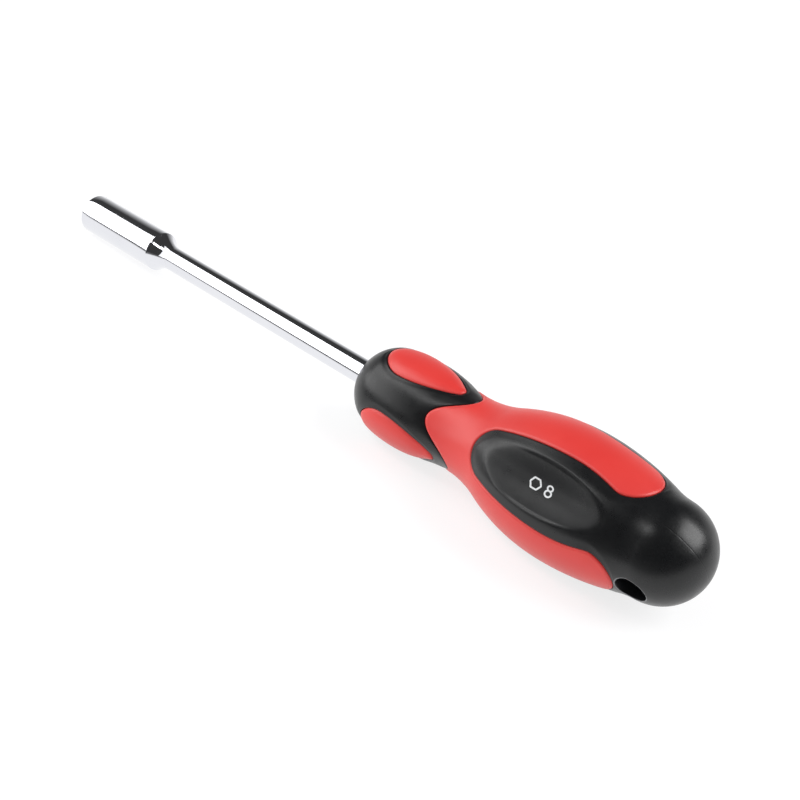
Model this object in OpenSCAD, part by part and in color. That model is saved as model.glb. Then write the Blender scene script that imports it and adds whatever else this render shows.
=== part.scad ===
// Nut driver with a fixed hexagon socket blade and a two-colour moulded handle.
// The drive axis is the X axis, the socket mouth is at the origin and the butt is at the far end.
// One label panel faces down, so one red strip of the grip runs along the top.

/* [Blade] */
// Length of the blade, from the socket mouth to the nose of the handle
blade_l = 125; // [90:1:250]
// Size of the hexagon across its flats
hex_af = 8; // [6:0.5:9]
// Depth of the hexagon
hex_depth = 15; // [10:0.5:17]
// Depth of the round relief below the hexagon
relief_l = 4; // [1:0.5:5]
// Chamfer round the mouth of the hexagon
hex_chamfer = 0.6; // [0.2:0.1:1]
// Outside diameter of the socket head
socket_d = 12; // [11.5:0.1:14]
// Length of the socket head at its full diameter
socket_l = 33.3; // [30:0.1:45]
// Chamfer on the outside edge of the socket mouth
mouth_chamfer = 0.4; // [0.2:0.1:0.8]
// Length of the concave shoulder behind the socket head
shoulder_l = 6.5; // [4:0.5:12]
// Diameter of the shaft
shaft_d = 7.1; // [6.5:0.1:8]
// Diameter of the spigot that joins the shaft to the socket head
spigot_d = 5; // [4:0.1:5.5]
// Length of the spigot
spigot_l = 14; // [8:0.5:16]

/* [Wings on the tang] */
// Width of the pressed wings across the shaft
wing_w = 11; // [9:0.5:12]
// Thickness of the wings
wing_t = 2.6; // [2:0.1:4]
// Length of each pair of wings
wing_l = 12; // [8:0.5:15]
// Shares of the tang's length in front of each pair of wings
wing_shares = [0.32, 0.72]; // [0.25:0.01:0.8]

/* [Handle outline] */
// Length of the handle
handle_l = 113; // [95:1:130]
// Share of the handle's length in front of the collar's crest
collar_share = 0.1617; // [0.15:0.0001:0.18]
// Largest diameter of the collar
collar_d = 25.4; // [24.5:0.1:28]
// Share of the handle's length in front of the waist
waist_share = 0.3291; // [0.31:0.0001:0.35]
// Diameter of the waist
waist_d = 21.4; // [20:0.1:22.5]
// Share of the handle's length in front of the grip's crest
bulge_share = 0.6372; // [0.6:0.0001:0.66]
// Largest diameter of the grip
bulge_d = 35; // [33:0.1:38]
// Share of the bend from waist to grip that the grip's own arc takes
bend_share = 0.638; // [0.5:0.001:0.75]
// Diameter of the ball at the butt
butt_d = 26.6; // [25:0.1:29]
// Swell of the neck's radius over the ball
neck_swell = 0.15; // [0.05:0.05:0.5]
// Distance from the centre of the ball forward to the neck
neck_back = 2.4; // [1:0.1:4]
// Radius of the fillet at the neck
neck_arc_r = 20; // [10:1:30]

/* [Layers of the handle] */
// Thickness of the outer mouldings over the inner core
shell_t = 3; // [2.4:0.1:3.6]
// Distance from the nose of the handle to the inner core
core_start = 9; // [7:0.5:12]
// Web between the inner core and the hanging hole
core_web = 2.5; // [1.5:0.5:5]
// Length of the inner core behind the tang
tang_cover = 19; // [10:0.5:25]
// Room between pieces that are moulded against each other
fit_gap = 0.05; // [0.03:0.01:0.1]

/* [Thumb pads] */
// Distance from the nose of the handle to the front end of a pad
pad_start = 8.3; // [7:0.1:10]
// Black land between the back end of a pad and the grip sleeve
pad_land = 5; // [3:0.1:8]
// Share of a pad's length in front of its widest place
pad_wide_share = 0.336; // [0.3:0.001:0.45]
// Width of a pad
pad_w = 14.4; // [12.5:0.1:15]
// Radius of the front end of a pad
pad_front_r = 5.8; // [4:0.1:6]
// Radius of the back end of a pad
pad_back_r = 2; // [1:0.1:4]
// Thickness of a pad
pad_t = 1.8; // [1:0.1:2.2]

/* [Grip sleeve] */
// Distance from the waist forward to the middle of the wavy front border
border_lead = 2.3; // [0:0.1:3]
// Height of the waves on each side of that middle
border_swing = 4.3; // [1:0.1:5]
// Distance from the middle of the border to the front end of a panel
ring_l = 13.1; // [10:0.1:16]
// Share of a panel's front part that the ring joining the strips lies beside
ring_share = 0.49; // [0.3:0.01:0.6]
// Black land between a strip's round end and the hanging hole
strip_land = 0.6; // [0.4:0.1:3]
// Width of a strip
strip_w = 16; // [14:0.1:16.5]

/* [Label panels] */
// Share of a panel's length in front of its widest place
panel_wide_share = 0.553; // [0.45:0.001:0.6]
// Width of a panel
panel_w = 19.7; // [18:0.1:20.5]
// Radius of the front end of a panel
panel_front_r = 6.8; // [5:0.1:8]
// Radius of the back end of a panel
panel_back_r = 4.5; // [3:0.1:6]
// Rim in front of the label recess
recess_front_rim = 5; // [4:0.1:8]
// Rim behind the label recess
recess_back_rim = 8.3; // [7:0.1:12]
// Width of the label recess
recess_w = 13.8; // [10:0.1:15]
// Radius of the ends of the label recess
recess_r = 3.2; // [2:0.1:4]
// Depth of the label recess along its middle
recess_depth = 1.5; // [1.2:0.1:1.8]
// Radius of the label recess's floor across the handle
recess_floor_r = 60; // [50:1:90]

/* [Hanging hole] */
// Diameter of the hanging hole
hang_d = 8; // [5:0.1:9]
// Distance from the centre of the ball back to the hanging hole
hang_back = 0.8; // [0:0.1:2]

/* [Hidden] */

$fn = 96;
// Cuts run past the faces they open by this much
overrun = 1;

// Panels, strips and pads repeat round the axis
fold = 3;
fold_turn = 360 / fold;
strip_turn = 0;
panel_turn = fold_turn / 2;
hang_turn = fold_turn;
// Straight pieces in one wave of the front border
border_steps = 24;
// Longest straight piece along a rounded outline
chord = 2.5;

chrome_colour = "#d5d7db";
core_colour = "#8d8f93";
black_colour = "#2a2b2d";
red_colour = "#e5443e";

// Radii that the named diameters give
socket_r = socket_d / 2;
shaft_r = shaft_d / 2;
spigot_r = spigot_d / 2;
collar_r = collar_d / 2;
waist_r = waist_d / 2;
bulge_r = bulge_d / 2;
butt_r = butt_d / 2;
hang_r = hang_d / 2;
neck_r = butt_r + neck_swell;

// The shoulder is an arc that runs out level with the shaft
shoulder_rise = socket_r - shaft_r;
shoulder_arc_r = (pow(shoulder_rise, 2) + pow(shoulder_l, 2)) / (2 * shoulder_rise);
socket_end = socket_l + shoulder_l;

// Places along the axis that the shares of the handle give
collar_x = blade_l + handle_l * collar_share;
waist_x = blade_l + handle_l * waist_share;
bulge_x = blade_l + handle_l * bulge_share;

// Two arcs that bend from crest to hollow have radii that add up to this
function bend_r(run, drop) = (pow(run, 2) + pow(drop, 2)) / (2 * drop);

grip_bend_r = bend_r(bulge_x - waist_x, bulge_r - waist_r);
bulge_arc_r = grip_bend_r * bend_share;
waist_arc_r = grip_bend_r - bulge_arc_r;
collar_arc_r = bend_r(waist_x - collar_x, collar_r - waist_r) - waist_arc_r;

// The ball of the nose starts at the nose and runs out into the collar's arc
crest_l = collar_x - blade_l;
nose_r = (pow(collar_arc_r, 2) - pow(collar_arc_r - collar_r, 2) - pow(crest_l, 2))
    / (2 * (collar_arc_r - crest_l));

// The outline of the handle is a chain of arcs, each tangent to the next.
// Every arc has a centre [radius from the axis, distance along the axis].
nose_c = [0, blade_l + nose_r];
collar_c = [collar_r - collar_arc_r, collar_x];
waist_c = [waist_r + waist_arc_r, waist_x];
bulge_c = [bulge_r - bulge_arc_r, bulge_x];
butt_c = [0, blade_l + handle_l - butt_r];

// The back of the bulge runs from its crest down to the neck
neck_run = butt_c.y - neck_back - bulge_c.y;
neck_drop = bulge_r - neck_r;
back_arc_r = (pow(neck_run, 2) + pow(neck_drop, 2)) / (2 * neck_drop);
back_c = [bulge_r - back_arc_r, bulge_c.y];

// The neck fillet touches the back of the bulge and the ball
neck_c = touching_centre(back_c, back_arc_r + neck_arc_r, butt_c, butt_r + neck_arc_r);

// The hanging hole keeps its place on the ball, and the core and strips stop short of it
hang_x = butt_c.y + hang_back;
core_front = blade_l + core_start;
core_back = hang_x - hang_r - core_web;
tang_end = core_back - tang_cover;
tang_l = tang_end - blade_l;
strip_end = hang_x - hang_r - strip_land - strip_w / 2;

// Panels run from the ring of the sleeve to the ball
border_mid = waist_x - border_lead;
ring_front = border_mid + border_swing;
panel_front = border_mid + ring_l;
panel_l = butt_c.y - panel_front;
panel_front_l = panel_l * panel_wide_share;
ring_back = panel_front + panel_front_l * ring_share;
recess_l = panel_l - recess_front_rim - recess_back_rim;
floor_shift = recess_floor_r - bulge_r + recess_depth;

// Pads run from the nose to the land in front of the sleeve
pad_front = blade_l + pad_start;
pad_l = ring_front - pad_land - pad_front;
pad_front_l = pad_l * pad_wide_share;

// Centre at the given distances from two points, on the side away from the axis
function touching_centre(a, from_a, b, from_b) =
    let (
        gap = norm(b - a),
        along = (pow(from_a, 2) - pow(from_b, 2) + pow(gap, 2)) / (2 * gap),
        across = sqrt(pow(from_a, 2) - pow(along, 2)),
        dir = (b - a) / gap
    )
    a + along * dir + across * [dir.y, -dir.x];

// Angle of the line from one point to another
function angle_to(a, b) = atan2(b.y - a.y, b.x - a.x);

// Points along an arc, without its last point
function arc(centre, r, from, to) =
    let (steps = ceil(abs(r * (to - from)) * PI / 180 / chord))
    [for (i = [0:steps - 1])
        let (turn = from + (to - from) * i / steps)
        centre + r * [cos(turn), sin(turn)]];

// Distance of the front border of the grip at an angle from the tip of a wave
function border_x(turn) = border_mid - border_swing * cos(fold * turn);

// Strip of the half section between two places along the axis
module band(from, to, width = bulge_d) {
    translate([0, from]) square([width, to - from]);
}

// Half section of the handle, drawn in by a depth all over.
// The waist and the neck bend the other way, so their arcs run on the far side of their centres.
module handle_half(depth = 0) {
    to_collar = angle_to(collar_c, nose_c);
    to_waist = angle_to(collar_c, waist_c);
    to_bulge = angle_to(bulge_c, waist_c);
    to_neck = angle_to(back_c, neck_c);
    to_ball = angle_to(butt_c, neck_c);
    polygon(concat(
        arc(nose_c, nose_r - depth, -90, to_collar),
        arc(collar_c, collar_arc_r - depth, to_collar, to_waist),
        arc(waist_c, -waist_arc_r - depth, to_waist, to_bulge),
        arc(bulge_c, bulge_arc_r - depth, to_bulge, 0),
        arc(back_c, back_arc_r - depth, 0, to_neck),
        arc(neck_c, -neck_arc_r - depth, to_neck, to_ball),
        arc(butt_c, butt_r - depth, to_ball, 90),
        [butt_c + [0, butt_r - depth]]
    ));
}

// Half section turned round the drive axis
module turned() {
    rotate([0, 90, 0]) rotate_extrude() children();
}

module handle_body(depth = 0) {
    turned() handle_half(depth);
}

// Copies round the axis
module around(first_turn) {
    for (i = [0:fold - 1]) rotate([first_turn + i * fold_turn, 0, 0]) children();
}

// Outline seen from outside, carried from the axis out past the surface
module outward() {
    linear_extrude(height = bulge_d) children();
}

// Quarter of an oval, from the tip of its round end to its widest place
function quarter_oval(length, half_w, end_r) =
    let (
        end_x = length - end_r,
        side_r = (pow(end_x, 2) + pow(half_w, 2) - pow(end_r, 2)) / (2 * (half_w - end_r)),
        side_c = [0, half_w - side_r],
        bend = angle_to(side_c, [end_x, 0])
    )
    concat(arc([end_x, 0], end_r, 0, bend), arc(side_c, side_r, bend, 90));

module oval(front_l, back_l, width, front_r, back_r, grow = 0) {
    half_w = width / 2 + grow;
    back = quarter_oval(back_l + grow, half_w, back_r + grow);
    front = quarter_oval(front_l + grow, half_w, front_r + grow);
    front_points = [for (i = [len(front) - 1:-1:0]) [-front[i].x, front[i].y]];
    upper = concat(back, [[0, half_w]], front_points);
    lower = [for (i = [len(upper) - 2:-1:1]) [upper[i].x, -upper[i].y]];
    polygon(concat(upper, lower));
}

module pad_outline(grow = 0) {
    translate([pad_front + pad_front_l, 0])
        oval(pad_front_l, pad_l - pad_front_l, pad_w, pad_front_r, pad_back_r, grow);
}

module panel_outline(grow = 0) {
    translate([panel_front + panel_front_l, 0])
        oval(panel_front_l, panel_l - panel_front_l, panel_w, panel_front_r, panel_back_r, grow);
}

module recess_outline() {
    half_l = recess_l / 2;
    translate([panel_front + recess_front_rim + half_l, 0])
        oval(half_l, half_l, recess_w, recess_r, recess_r);
}

// Body that the floor of a recess follows, turned about a line beyond the drive axis
module recess_floor() {
    translate([0, 0, -floor_shift]) turned() {
        translate([floor_shift - recess_depth, 0]) handle_half();
        band(blade_l, blade_l + handle_l, floor_shift - recess_depth);
    }
}

module strip_outline(grow = 0) {
    half_w = strip_w / 2 + grow;
    start_x = ring_back - overrun;
    end_c = [strip_end, 0];
    polygon(concat(
        [[start_x, half_w], [start_x, -half_w]],
        arc(end_c, half_w, -90, 90),
        [end_c + [0, half_w]]
    ));
}

// One wave of the red front border, from valley to valley
module wave_outline() {
    step = fold_turn / border_steps;
    wave = [for (i = [0:border_steps]) i * step - fold_turn / 2];
    side = waist_r * sin(fold_turn / 2);
    polygon(concat(
        [for (turn = wave) [border_x(turn), waist_r * sin(turn)]],
        [[ring_front + overrun, side], [ring_front + overrun, -side]]
    ));
}

// Slice of the space round the axis between two places along it
module slice(from, to) {
    turned() band(from, to);
}

// Room for the inner core inside the outer mouldings
module core_room() {
    turned() intersection() {
        handle_half(shell_t);
        band(core_front - fit_gap, core_back + fit_gap);
    }
}

// Shaft, spigot and wings, swollen by the room round them
module tang(room = 0) {
    turned() band(socket_end, tang_end + room, shaft_r + room);
    for (i = [0:len(wing_shares) - 1])
        translate([blade_l + tang_l * wing_shares[i], 0, 0])
            rotate([hang_turn + i * 90, 0, 0])
                translate([-room, -wing_w / 2 - room, -wing_t / 2 - room])
                    cube([wing_l + 2 * room, wing_w + 2 * room, wing_t + 2 * room]);
}

// Space outside the seat of a pad
module pad_space(room = 0) {
    difference() {
        outward() pad_outline(room);
        handle_body(pad_t + room);
    }
}

module socket_head() {
    hex_r = hex_af / 2 / cos(30);
    color(chrome_colour) difference() {
        turned() {
            difference() {
                band(0, socket_l, socket_r);
                translate([socket_r, 0]) rotate(45) square(mouth_chamfer * sqrt(2), center = true);
            }
            difference() {
                band(socket_l, socket_end, socket_r);
                translate([shaft_r + shoulder_arc_r, socket_end]) circle(shoulder_arc_r);
            }
        }
        rotate([0, 90, 0]) {
            translate([0, 0, -overrun]) cylinder(r = hex_r, h = hex_depth + overrun, $fn = 6);
            cylinder(d = hex_af, h = hex_depth + relief_l);
        }
        turned() polygon([
            [0, -overrun],
            [hex_r + overrun, -overrun],
            [hex_r, 0],
            [hex_r - hex_chamfer, hex_chamfer],
            [0, hex_chamfer],
        ]);
        turned() band(socket_end - spigot_l, socket_end + overrun, spigot_r + fit_gap);
    }
}

module shaft() {
    color(chrome_colour) {
        turned() band(socket_end - spigot_l + fit_gap, socket_end + overrun, spigot_r);
        tang();
    }
}

module inner_core() {
    color(core_colour) difference() {
        turned() intersection() {
            handle_half(shell_t + fit_gap);
            band(core_front, core_back);
        }
        tang(fit_gap);
    }
}

module front_collar() {
    color(black_colour) difference() {
        turned() intersection() {
            handle_half();
            band(blade_l, ring_front - fit_gap);
        }
        core_room();
        tang(fit_gap);
        translate([-fit_gap, 0, 0]) around(panel_turn) outward() wave_outline();
        around(strip_turn) pad_space(fit_gap);
    }
}

module thumb_pad(i) {
    color(red_colour) rotate([strip_turn + i * fold_turn, 0, 0]) intersection() {
        handle_body();
        pad_space();
    }
}

module thumb_pad_top() {
    thumb_pad(0);
}

module thumb_pad_near() {
    thumb_pad(1);
}

module thumb_pad_far() {
    thumb_pad(2);
}

module grip_sleeve() {
    color(red_colour) difference() {
        intersection() {
            handle_body();
            union() {
                around(panel_turn) outward() wave_outline();
                slice(ring_front, ring_back);
                around(strip_turn) outward() strip_outline();
            }
        }
        handle_body(shell_t);
        around(panel_turn) outward() panel_outline(fit_gap);
    }
}

module rear_body() {
    color(black_colour) difference() {
        intersection() {
            handle_body();
            union() {
                around(panel_turn) outward() panel_outline();
                difference() {
                    slice(ring_back + fit_gap, blade_l + handle_l);
                    difference() {
                        around(strip_turn) outward() strip_outline(fit_gap);
                        handle_body(shell_t + fit_gap);
                    }
                }
            }
        }
        core_room();
        rotate([hang_turn, 0, 0])
            translate([hang_x, 0, 0])
                cylinder(r = hang_r, h = 2 * bulge_d, center = true);
        around(panel_turn) difference() {
            outward() recess_outline();
            recess_floor();
        }
    }
}

socket_head();
shaft();
inner_core();
front_collar();
thumb_pad_top();
thumb_pad_near();
thumb_pad_far();
grip_sleeve();
rear_body();
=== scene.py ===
# %% [markdown]
# # A nut driver with a two-colour handle
# A nut driver is a hexagon socket on a plated blade, turned by a handle that is moulded in three shots: a hard
# core on the blade's tang, black polypropylene over it, and a soft red grip between the black fields.
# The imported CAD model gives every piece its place. This lesson keeps that frame and gives each piece the fine
# shape and the finish that the CAD solids leave out: rounded borders, moulding grain, plating and print.

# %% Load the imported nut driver
import bmesh
import bpy
import numpy as np
from mathutils import Matrix, Vector


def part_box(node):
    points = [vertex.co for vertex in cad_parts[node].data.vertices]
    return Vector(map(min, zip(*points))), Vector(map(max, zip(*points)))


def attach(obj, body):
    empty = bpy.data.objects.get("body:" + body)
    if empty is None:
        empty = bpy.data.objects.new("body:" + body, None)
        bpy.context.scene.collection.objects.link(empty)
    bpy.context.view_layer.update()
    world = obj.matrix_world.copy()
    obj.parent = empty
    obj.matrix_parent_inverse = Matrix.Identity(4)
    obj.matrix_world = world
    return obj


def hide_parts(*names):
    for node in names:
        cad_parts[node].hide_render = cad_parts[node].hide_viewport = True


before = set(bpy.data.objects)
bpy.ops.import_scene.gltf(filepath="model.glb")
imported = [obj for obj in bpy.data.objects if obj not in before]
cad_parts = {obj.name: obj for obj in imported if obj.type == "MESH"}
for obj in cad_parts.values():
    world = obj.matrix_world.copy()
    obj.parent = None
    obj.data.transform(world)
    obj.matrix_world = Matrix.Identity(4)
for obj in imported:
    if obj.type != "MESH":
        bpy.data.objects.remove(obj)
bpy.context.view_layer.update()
MM = 0.001
print("CAD nodes:", sorted(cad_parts))

# %% [markdown]
# ## The camera
# The photograph looks down along the tool from beside its butt. Its place was solved from the tool's outline.
# A camera could be aimed with a constraint, but three axes written as the columns of one matrix say the same
# without any moving part, and keep the small roll of the picture.

# %% Camera at the photograph's viewing angle
camera_data = bpy.data.cameras.new("product_camera")
camera_data.lens = 72.0
camera_data.sensor_width = 36.0
camera_data.clip_start = 0.01
camera = bpy.data.objects.new("product_camera", camera_data)
bpy.context.scene.collection.objects.link(camera)
right = Vector((0.69622, 0.71077, 0.10035))
up = Vector((-0.41613, 0.28574, 0.86324))
back = right.cross(up)
place = Vector((385.7, -272.9, 208.2)) * MM
camera.matrix_world = Matrix((right, up, back)).transposed().to_4x4()
camera.location = place
bpy.context.scene.camera = camera
print("camera at", [round(v, 4) for v in camera.location])

# %% [markdown]
# ## The outline of the handle
# The handle is turned: a chain of arcs runs from the round nose over the collar, the waist and the bulge to the
# neck and the ball of the butt, and each arc leaves the next without a corner. A spline would come close, but
# arcs can be written from the few sizes that a maker would measure, and their normals are exact.

# %% Arcs of the outline
nose_x, collar_x, waist_x, bulge_x, ball_x, butt_x = 125.0, 143.2721, 162.1883, 197.0036, 224.7, 238.0
collar_r, waist_r, bulge_r, ball_r, neck_r, neck_arc = 12.7, 10.7, 17.5, 13.3, 13.45, 20.0
# The bulge takes this share of the bend from the waist, and the back arc is measured this far before the ball
bulge_share, neck_run = 0.638, 2.4


def bend(run, drop):
    """Sum of the radii of two arcs that bend from a crest to a hollow: run squared plus drop squared, over
    twice the drop. With one arc alone it is that arc's radius."""
    return (run ** 2 + drop ** 2) / (2 * drop)


grip_bend = bend(bulge_x - waist_x, bulge_r - waist_r)
bulge_arc = bulge_share * grip_bend
waist_arc = grip_bend - bulge_arc
collar_arc = bend(waist_x - collar_x, collar_r - waist_r) - waist_arc
crest = collar_x - nose_x
nose_arc = (collar_arc ** 2 - (collar_arc - collar_r) ** 2 - crest ** 2) / (2 * (collar_arc - crest))
back_arc = bend(ball_x - neck_run - bulge_x, bulge_r - neck_r)

# The neck's fillet touches the back of the bulge and the ball, so its centre is at two known distances
back_c, ball_c = np.array([bulge_x, bulge_r - back_arc]), np.array([ball_x, 0.0])
apart = np.linalg.norm(ball_c - back_c)
along = ((back_arc + neck_arc) ** 2 - (ball_r + neck_arc) ** 2 + apart ** 2) / (2 * apart)
across = np.sqrt((back_arc + neck_arc) ** 2 - along ** 2)
way = (ball_c - back_c) / apart
neck_c = back_c + along * way + across * np.array([-way[1], way[0]])

ARC_X = np.array([nose_x + nose_arc, collar_x, waist_x, bulge_x, bulge_x, neck_c[0], ball_x])
ARC_C = np.array([0, collar_r - collar_arc, waist_r + waist_arc, bulge_r - bulge_arc, back_c[1], neck_c[1], 0])
ARC_R = np.array([nose_arc, collar_arc, waist_arc, bulge_arc, back_arc, neck_arc, ball_r])
SWELL = np.array([1, 1, -1, 1, 1, -1, 1])
# Two arcs meet on the line through their centres
share = ARC_R[:-1] / (ARC_R[:-1] - SWELL[:-1] * SWELL[1:] * ARC_R[1:])
ARC_ENDS = ARC_X[:-1] + (ARC_X[1:] - ARC_X[:-1]) * share
print("arc radii", np.round(ARC_R, 2), "meeting at", np.round(ARC_ENDS, 2))


# %% Points on the skin of the handle
def outline(x):
    """Radius of the handle at x, and its outward normal along and away from the axis.
    On an arc the radius is the centre's own radius, plus for a swell or minus for a hollow the root of the
    arc's radius squared less the distance from its centre along the axis squared."""
    k = np.searchsorted(ARC_ENDS, x)
    run = x - ARC_X[k]
    rise = np.sqrt(np.maximum(ARC_R[k] ** 2 - run ** 2, 0))
    return ARC_C[k] + SWELL[k] * rise, SWELL[k] * run / ARC_R[k], rise / ARC_R[k]


def skin(x, turn, lift=0.0):
    """Points of the handle in mm: x along the axis, turn in radians from the top towards the near side, and
    lift along the outline's normal."""
    r, lean, away = outline(x)
    reach = r + lift * away
    x, y, z = np.broadcast_arrays(x + lift * lean, -reach * np.sin(turn), reach * np.cos(turn))
    return np.stack([x, y, z], axis=-1)


def facing_out(grid):
    """Turns a grid of points round if its faces look at the drive axis: the sum of every face's normal, which
    is the cross product of its two edges, times its own direction from the axis tells which."""
    normal = np.cross(np.diff(grid, axis=0)[:, :-1], np.diff(grid, axis=1)[:-1])
    outwards = (normal[..., 1:] * grid[:-1, :-1, 1:]).sum()
    return grid if outwards > 0 else grid[:, ::-1]


THIRD = np.radians(120)
SIXTH = np.radians(60)


def six_fold(x, turn, lift):
    """Repeats a patch that lies between the middle of a strip and the middle of a panel: three turns of a
    third, each with its mirror image."""
    return [facing_out(skin(x, side * turn + k * THIRD, lift)) for k in range(3) for side in (1, -1)]


# %% From grids to a piece
def make_piece(name, grids, sharp=None):
    """Joins grids of points in mm into one mesh in metres. Each cell of a grid is one face, points that meet
    are welded, and edges that bend more than sharp degrees stay crisp."""
    starts = np.cumsum([0] + [g.shape[0] * g.shape[1] for g in grids])
    faces = []
    for g, start in zip(grids, starts):
        k = start + np.arange(g.shape[0] * g.shape[1]).reshape(g.shape[:2])
        faces.append(np.stack([k[:-1, :-1], k[1:, :-1], k[1:, 1:], k[:-1, 1:]], axis=-1).reshape(-1, 4))
    points = np.concatenate([g.reshape(-1, 3) for g in grids]) * MM
    mesh = bpy.data.meshes.new(name)
    mesh.from_pydata(points, [], np.concatenate(faces).tolist())
    weld = bmesh.new()
    weld.from_mesh(mesh)
    bmesh.ops.remove_doubles(weld, verts=weld.verts, dist=1e-6)
    weld.to_mesh(mesh)
    weld.free()
    mesh.polygons.foreach_set("use_smooth", np.ones(len(mesh.polygons), dtype=bool))
    if sharp:
        mesh.set_sharp_from_angle(angle=np.radians(sharp))
    piece = bpy.data.objects.new(name, mesh)
    bpy.context.scene.collection.objects.link(piece)
    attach(piece, "root")
    print(name, len(mesh.vertices), "points", len(mesh.polygons), "faces")
    return piece


# %% [markdown]
# ## Where red meets black
# The pads and panels are eggs: a long side arc on each side, closed by a round end at the front and at the back.
# The strips between the panels end in a half circle before the butt, and the front border of the grip is a wave
# with three crests. Each border is a line drawn on the skin, so it can be walked in even steps and moved aside.

# %% Egg outlines
# Each egg: front tip, widest place, back tip, half width, radius of the front end, radius of the back end
PAD = (133.3, 142.0, 159.19, 7.2, 5.8, 2.0)
PANEL = (172.99, 201.59, 224.7, 9.85, 6.8, 4.5)
RECESS = (177.99, 197.2, 216.4, 6.9, 5.0, 4.3)


def egg_arcs(x, egg):
    """The arcs of an egg at x: distance from its widest place, centre and radius of the round end on that side,
    and radius of the side arc, which is end squared plus half squared less tip squared, over twice the half
    width less the tip, because the end arc touches it from inside."""
    front, wide, rear, half, front_r, rear_r = egg
    tip = np.where(x < wide, front_r, rear_r)
    end = np.where(x < wide, wide - front, rear - wide) - tip
    return np.abs(x - wide), end, tip, (end ** 2 + half ** 2 - tip ** 2) / (2 * (half - tip))


def egg_half_width(x, egg):
    """Half width of an egg at x: on the side arc up to the place where the two arcs touch, then on the end."""
    far, end, tip, side = egg_arcs(x, egg)
    on_side = egg[3] - side + np.sqrt(np.maximum(side ** 2 - far ** 2, 0))
    on_tip = np.sqrt(np.maximum(tip ** 2 - (far - end) ** 2, 0))
    return np.where(far < end * side / (side - tip), on_side, on_tip)


def egg_inside(x, sideways, egg):
    """How far a point lies inside an egg: an arc's radius less the distance from its centre. The line through
    the two centres parts the side arc's share from the end arc's."""
    far, end, tip, side = egg_arcs(x, egg)
    sink = side - egg[3]
    high = np.abs(sideways)
    on_side = end * high + sink * (end - far) > 0
    return np.where(on_side, side - np.hypot(far, high + sink), tip - np.hypot(far - end, high))


# %% Lines drawn on the skin
def even_steps(x, turn, count):
    """Spreads points evenly along a line on the skin. A short step's length is the root of the squares of its
    parts along the axis, away from it and round it."""
    r = outline(x)[0]
    part = np.sqrt(np.diff(x) ** 2 + np.diff(r) ** 2 + ((r[1:] + r[:-1]) / 2 * np.diff(turn)) ** 2)
    length = np.concatenate([[0], np.cumsum(part)])
    at = np.linspace(0, length[-1], count)
    return np.interp(at, length, x), np.interp(at, length, turn)


def aside(x, turn, distance):
    """Moves a line sideways over the skin, one row for each distance. The line's direction has a part along
    the outline and a part round the axis; swapped, they point sideways. Both ends lie on a mirror plane, so the
    missing neighbour there is the mirror image of the last one."""
    r, lean, away = outline(x)
    wide_x = np.concatenate([x[1:2], x, x[-2:-1]])
    wide_turn = np.concatenate([2 * turn[:1] - turn[1:2], turn, 2 * turn[-1:] - turn[-2:-1]])
    over, round_ = (wide_x[2:] - wide_x[:-2]) / away, (wide_turn[2:] - wide_turn[:-2]) * r
    size = np.hypot(over, round_)
    d = np.asarray(distance)[:, None]
    return x + d * round_ / size * away, turn - d * over / size / r


def lines_across(x0, turn0, x1, turn1, count):
    """Lines from one border to another: the turn runs evenly, and x follows half a cosine wave that spans a
    sixth of a turn. So every line meets the mirror planes squarely, and neighbours that fan out don't cross."""
    v = np.linspace(0, 1, count)
    turn = turn0[:, None] + np.outer(turn1 - turn0, v)
    wave = -np.cos(np.pi * turn / SIXTH)
    tiny = 1e-9
    way = np.sign(turn1 - turn0 + tiny)[:, None]
    ease = (wave - wave[:, :1] + tiny * v) / (wave[:, -1:] - wave[:, :1] + tiny * way)
    return x0[:, None] + (x1 - x0)[:, None] * ease, turn


def smooth_step(t):
    """Rises from 0 to 1 with level ends: six t to the fifth, less fifteen t to the fourth, plus ten t cubed."""
    t = np.clip(t, 0, 1)
    return t ** 3 * (t * (6 * t - 15) + 10)


# %% Borders of the grip
ACROSS = 37
strip_half, strip_start, strip_round, strip_tip = 8.0, 205.0, 212.8, 220.8
wave_mid, wave_swing = 159.89, 4.3

fine = strip_tip - (strip_tip - PANEL[0]) * (1 - np.cos(np.linspace(0, np.pi, 6000))) / 2
radius = outline(fine)[0]
panel_turn = SIXTH - np.arcsin(egg_half_width(fine, PANEL) / radius)
strip_width = np.sqrt(np.maximum(strip_half ** 2 - np.maximum(fine - strip_round, 0) ** 2, 0))
strip_turn = np.where(fine > strip_start, np.arcsin(strip_width / radius), panel_turn + SIXTH)
# Where the strip's edge crosses the panel's edge, the corner is rounded over a small angle
soft = np.radians(2.5)
corner = np.maximum(soft - np.abs(strip_turn - panel_turn), 0) ** 2 / (4 * soft)
border_x, border_turn = even_steps(fine, np.minimum(strip_turn, panel_turn) - corner, 190)

wave_turn = np.linspace(0, SIXTH, ACROSS)
wave_x = wave_mid + wave_swing * np.cos(3 * wave_turn)

pad_fine = PAD[0] + (PAD[2] - PAD[0]) * (1 - np.cos(np.linspace(0, np.pi, 4000))) / 2
pad_half = np.arcsin(egg_half_width(pad_fine, PAD) / outline(pad_fine)[0])
pad_x, pad_turn = even_steps(pad_fine, pad_half, 96)
print("border from", round(border_x[0], 2), "to", round(border_x[-1], 2), "pads from", pad_x[0], "to", pad_x[-1])

# %% [markdown]
# ## The edges of the mouldings
# Soft grip shrinks away from the black as it cools, so both sides of a border end in a small round edge with a
# fine groove between them. A bevel modifier would round every edge alike. Here each side gets its own profile,
# carried along the border: a distance from it and a depth below the skin.

# %% Edge profiles
quarter = np.linspace(0, np.pi / 2, 9)


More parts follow.
